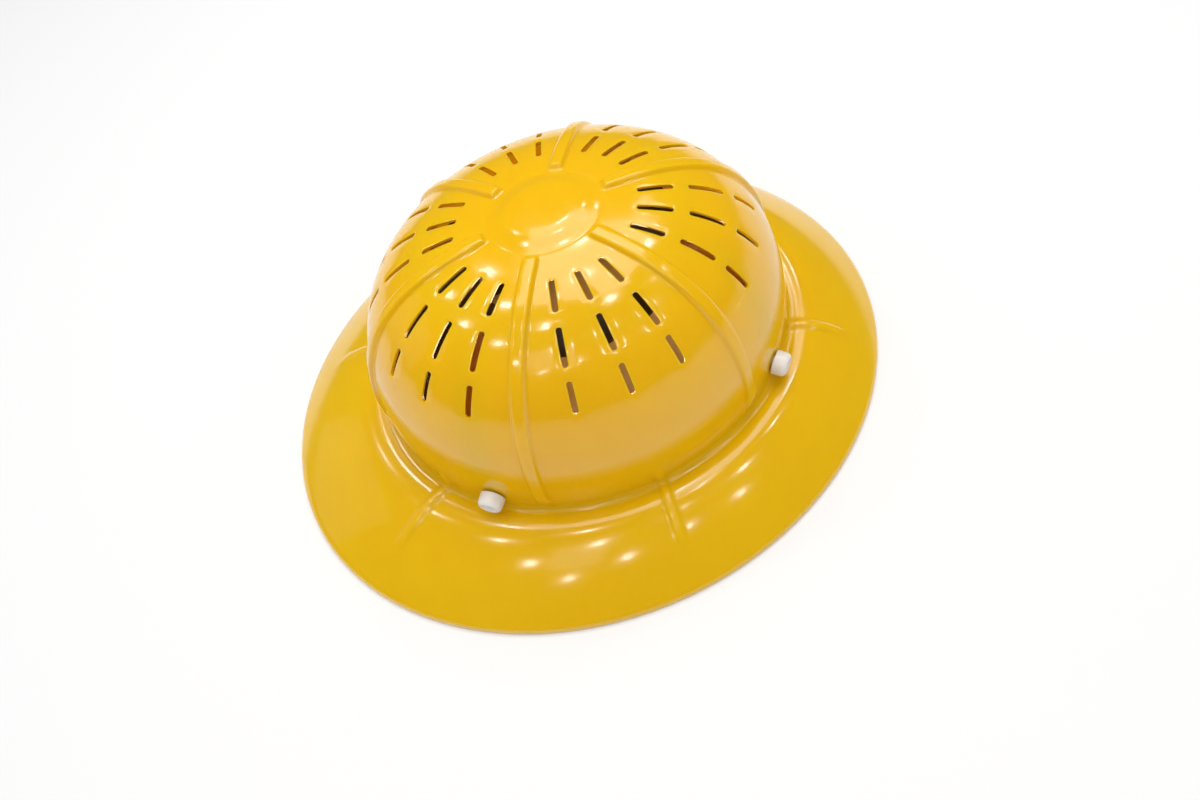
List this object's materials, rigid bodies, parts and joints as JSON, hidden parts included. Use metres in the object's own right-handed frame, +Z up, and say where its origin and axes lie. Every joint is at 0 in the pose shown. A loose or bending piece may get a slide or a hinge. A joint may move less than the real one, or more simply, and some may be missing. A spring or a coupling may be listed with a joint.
{
  "type": "beekeeping helmet",
  "caption": "Hard yellow sun helmet for bee work: ribbed and slotted crown, wide sloping brim with a turned-down rim, white studs and an adjustable inner head harness.",
  "frame": {"origin": "centre of the rim's outline, on the plane that the rim stands on", "axes": "+Z up, -Y the way the wearer faces, +X the wearer's left"},
  "size_m": [0.311, 0.363, 0.1332],
  "materials": {
    "shell": "glossy yellow moulding, slightly translucent",
    "stud": "white, satin gloss",
    "strap": "amber flexible strap with a fine grain",
    "rivet": "nickel-plated",
    "band": "charcoal flexible moulding",
    "pad": "dark brown leatherette over foam, stitched"
  },
  "bodies": {
    "helmet": {"helmet_shell": "shell", "stud_front_left": "stud", "stud_front_right": "stud", "stud_rear_left": "stud", "stud_rear_right": "stud", "stud_washer_front_left": "stud", "stud_washer_front_right": "stud", "stud_washer_rear_left": "stud", "stud_washer_rear_right": "stud", "crown_strap_front_left": "strap", "crown_strap_front_right": "strap", "crown_strap_rear_left": "strap", "crown_strap_rear_right": "strap", "hanger_front_left": "strap", "hanger_front_right": "strap", "hanger_rear_left": "strap", "hanger_rear_right": "strap", "ring_rivet_front_left": "rivet", "ring_rivet_front_right": "rivet", "ring_rivet_rear_left": "rivet", "ring_rivet_rear_right": "rivet", "hanger_rivet_front_left": "rivet", "hanger_rivet_front_right": "rivet", "hanger_rivet_rear_left": "rivet", "hanger_rivet_rear_right": "rivet", "crown_ring": "band", "brow_band": "band", "sweatband": "pad", "keeper_left": "band", "keeper_right": "band"},
    "nape": {"nape_band": "band", "nape_pad": "pad"}
  },
  "joints": [
    {"name": "nape_slide", "type": "slide", "parent": "helmet", "child": "nape", "axis": [0, 1, 0], "range_m": [-0.014, 0.012]}
  ]
}
